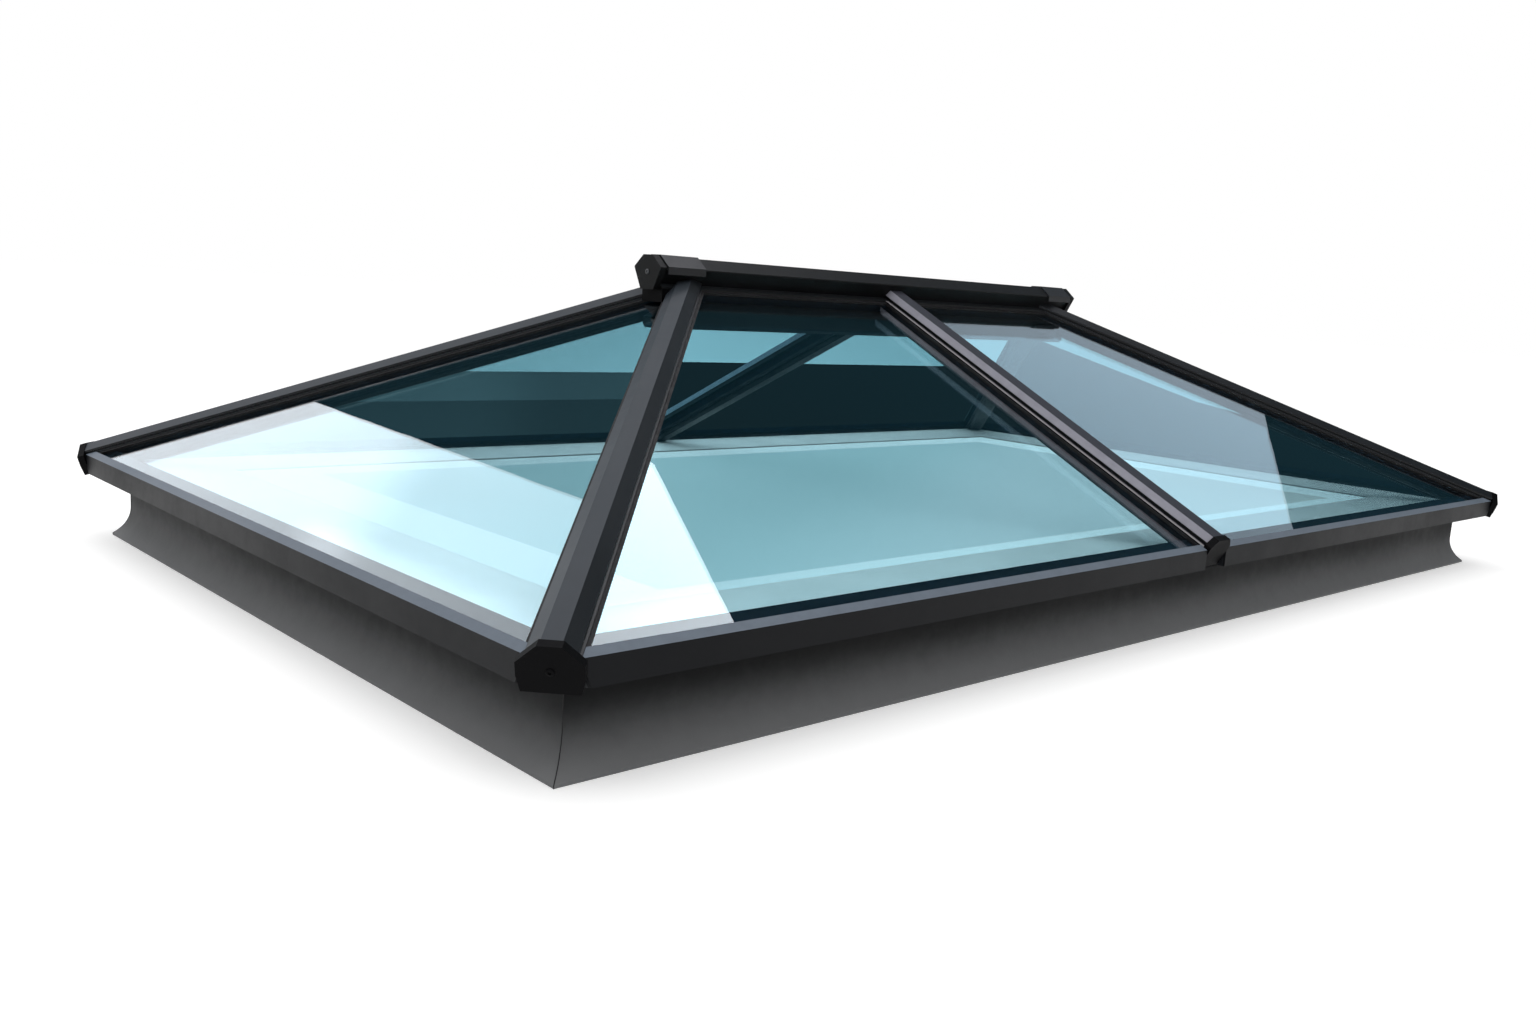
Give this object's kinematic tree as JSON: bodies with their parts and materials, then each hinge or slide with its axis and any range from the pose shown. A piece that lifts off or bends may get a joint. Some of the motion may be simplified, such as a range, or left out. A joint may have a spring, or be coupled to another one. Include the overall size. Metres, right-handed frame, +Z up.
{
  "type": "roof lantern",
  "caption": "Rectangular hipped roof lantern: tinted double-glazed slopes in a dark grey metal frame with a ridge, hips and rafters, set on a coved kerb that stands on a flat roof.",
  "frame": {"origin": "middle of the kerb's footprint, on the roof deck that it stands on", "axes": "+X along the ridge, +Y away from the long side that faces the viewer in the picture, +Z up"},
  "size_m": [2.5256, 1.5256, 0.5505],
  "materials": {
    "frame_paint": "satin powder coat, anthracite grey",
    "kerb_paint": "satin powder coat, dark grey",
    "cap_black": "moulded, near black",
    "pale_lining": "smooth, pale",
    "tinted_glass": "clear, pale blue-green tint",
    "spacer_dark": "warm-edge spacer, dark",
    "gasket_rubber": "extruded seal, black"
  },
  "bodies": {
    "root": {"kerb_front": "kerb_paint", "kerb_right": "kerb_paint", "kerb_back": "kerb_paint", "kerb_left": "kerb_paint", "lining_front": "pale_lining", "lining_right": "pale_lining", "lining_back": "pale_lining", "lining_left": "pale_lining", "eaves_beam_front": "frame_paint", "eaves_beam_right": "frame_paint", "eaves_beam_back": "frame_paint", "eaves_beam_left": "frame_paint", "eaves_cover_front": "frame_paint", "eaves_cover_right": "frame_paint", "eaves_cover_back": "frame_paint", "eaves_cover_left": "frame_paint", "glass_front_left": "tinted_glass", "glass_front_right": "tinted_glass", "glass_back_left": "tinted_glass", "glass_back_right": "tinted_glass", "glass_left_end": "tinted_glass", "glass_right_end": "tinted_glass", "spacer_frames": "spacer_dark", "glazing_gaskets": "gasket_rubber", "hip_bar_front_left": "frame_paint", "hip_bar_front_right": "frame_paint", "hip_bar_back_right": "frame_paint", "hip_bar_back_left": "frame_paint", "hip_cap_front_left": "frame_paint", "hip_cap_front_right": "frame_paint", "hip_cap_back_right": "frame_paint", "hip_cap_back_left": "frame_paint", "hip_end_caps": "cap_black", "rafter_bar_front": "frame_paint", "rafter_bar_back": "frame_paint", "rafter_cap_front": "frame_paint", "rafter_cap_back": "frame_paint", "rafter_end_caps": "frame_paint", "ridge_beam": "frame_paint", "ridge_cap": "frame_paint", "ridge_end_caps": "frame_paint", "ridge_saddles": "frame_paint", "ridge_fillings": "cap_black"}
  },
  "joints": []
}
